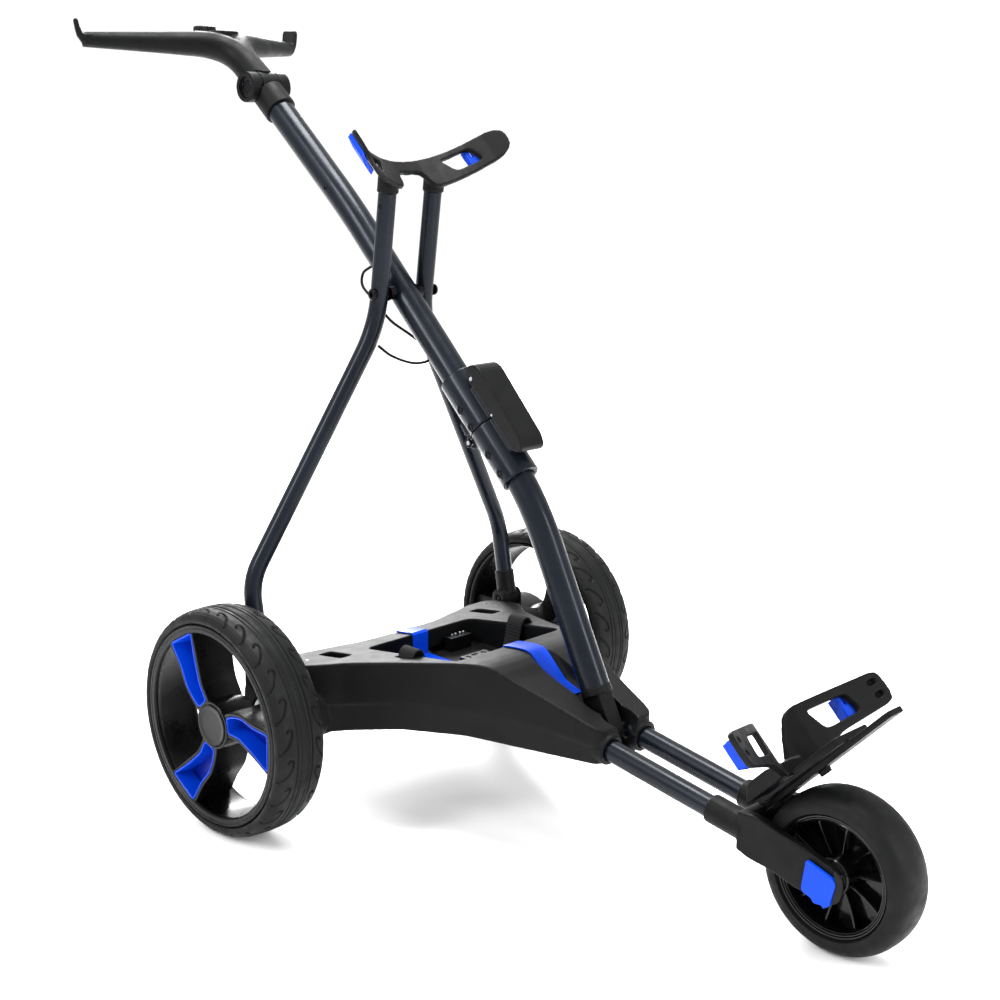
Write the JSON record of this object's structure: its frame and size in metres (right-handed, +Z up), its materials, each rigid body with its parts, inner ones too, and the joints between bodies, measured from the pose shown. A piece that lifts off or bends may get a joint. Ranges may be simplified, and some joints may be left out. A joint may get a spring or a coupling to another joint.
{
  "type": "electric golf trolley",
  "caption": "Folding electric golf trolley with spoked drive wheels, a front wheel, twin bag supports, a battery well and a height-adjustable handle.",
  "frame": {"origin": "centre of the footprint's bounding box, on the ground", "axes": "+X forward to the front wheel, +Y to the trolley's left, +Z up"},
  "size_m": [1.2004, 0.6074, 0.9486],
  "materials": {
    "tube": "satin blue-black powder coat",
    "moulding": "fine textured moulded plastic",
    "gloss": "gloss black",
    "accent": "satin royal blue",
    "tyre": "matte",
    "webbing": "woven",
    "steel": "brushed",
    "dark_metal": "black zinc",
    "board": "matt",
    "cable": "satin"
  },
  "bodies": {
    "chassis": {"accent_band": "accent", "base_pin": "steel", "battery_connector": "gloss", "battery_strap": "webbing", "chassis_shell": "moulding", "controller_board": "board", "drive_motor": "steel", "foot_plate": "moulding", "front_axle": "steel", "front_fork": "moulding", "gearbox": "dark_metal", "left_axle_bearing": "steel", "left_leg_tube": "tube", "left_lower_clip": "accent", "lower_cradle": "moulding", "right_axle_bearing": "steel", "right_leg_tube": "tube", "right_lower_clip": "accent", "strap_buckle": "moulding", "undertray": "moulding"},
    "right_wheel": {"right_tyre": "tyre", "right_rim": "gloss", "right_rim_accent": "accent", "right_hub_cap": "gloss", "right_axle_shaft": "steel"},
    "left_wheel": {"left_tyre": "tyre", "left_rim": "gloss", "left_rim_accent": "accent", "left_hub_cap": "gloss", "left_axle_shaft": "steel"},
    "right_release": {"right_release_tab": "dark_metal"},
    "left_release": {"left_release_tab": "dark_metal"},
    "front_wheel": {"front_tyre": "tyre", "front_rim": "gloss", "front_hub_bush": "steel"},
    "right_clip": {"right_axle_clip": "accent"},
    "left_clip": {"left_axle_clip": "accent"},
    "lower_mast": {"lower_tube": "tube", "tube_foot": "moulding", "lower_clamp": "moulding"},
    "upper_mast": {"upper_tube": "tube", "upper_clamp": "moulding", "height_collar": "moulding", "control_cable": "cable", "knee_pin": "steel", "latch_pin": "steel", "barrel_bolt": "dark_metal"},
    "latch": {"latch_cover": "gloss"},
    "stays": {"right_stay": "tube", "left_stay": "tube", "right_stay_foot": "moulding", "left_stay_foot": "moulding", "right_stay_bolt": "dark_metal", "left_stay_bolt": "dark_metal", "upper_bag_support": "moulding", "right_upper_clip": "accent", "left_upper_clip": "accent"},
    "handle": {"handle_bar": "moulding"},
    "dial": {"speed_dial": "gloss"}
  },
  "joints": [
    {"name": "right_wheel_spin", "type": "hinge", "parent": "chassis", "child": "right_wheel", "pos_m": [-0.15584, -0.27, 0.137], "axis": [0, 1, 0], "continuous": true},
    {"name": "left_wheel_spin", "type": "hinge", "parent": "chassis", "child": "left_wheel", "pos_m": [-0.15584, 0.27, 0.137], "axis": [0, 1, 0], "continuous": true},
    {"name": "front_wheel_spin", "type": "hinge", "parent": "chassis", "child": "front_wheel", "pos_m": [0.51216, 0, 0.088], "axis": [0, 1, 0], "continuous": true},
    {"name": "right_release_push", "type": "slide", "parent": "right_wheel", "child": "right_release", "axis": [1, 0, 0], "range_m": [0, 0.003], "stiffness_N_per_m": 400, "springref_m": -0.001},
    {"name": "left_release_push", "type": "slide", "parent": "left_wheel", "child": "left_release", "axis": [-1, 0, 0], "range_m": [0, 0.003], "stiffness_N_per_m": 400, "springref_m": -0.001},
    {"name": "right_clip_slide", "type": "slide", "parent": "chassis", "child": "right_clip", "axis": [1, 0, 0], "range_m": [0, 0.006]},
    {"name": "left_clip_slide", "type": "slide", "parent": "chassis", "child": "left_clip", "axis": [1, 0, 0], "range_m": [0, 0.006]},
    {"name": "lower_fold", "type": "hinge", "parent": "chassis", "child": "lower_mast", "pos_m": [0.19616, 0, 0.15], "axis": [0, 1, 0], "range_deg": [0, 65]},
    {"name": "stays_fold", "type": "hinge", "parent": "chassis", "child": "stays", "pos_m": [-0.17284, 0, 0.185], "axis": [0, 1, 0], "range_deg": [0, 49]},
    {"name": "upper_fold", "type": "hinge", "parent": "lower_mast", "child": "upper_mast", "pos_m": [-0.02184, 0, 0.454], "axis": [0, 1, 0], "range_deg": [-122.6, 0]},
    {"name": "latch_lift", "type": "hinge", "parent": "upper_mast", "child": "latch", "pos_m": [-0.01599, 0, 0.53166], "axis": [0, -1, 0], "range_deg": [0, 35]},
    {"name": "handle_tilt", "type": "hinge", "parent": "upper_mast", "child": "handle", "pos_m": [-0.42084, 0, 0.8645], "axis": [0, 1, 0], "range_deg": [-20, 20]},
    {"name": "dial_turn", "type": "hinge", "parent": "handle", "child": "dial", "pos_m": [-0.54684, 0, 0.94], "axis": [0, 0, 1], "range_deg": [0, 270]}
  ],
  "couplings": [
    {"joint": "stays_fold", "follows": "lower_fold", "ratio": 0.74997},
    {"joint": "upper_fold", "follows": "lower_fold", "ratio": -1.8823}
  ]
}
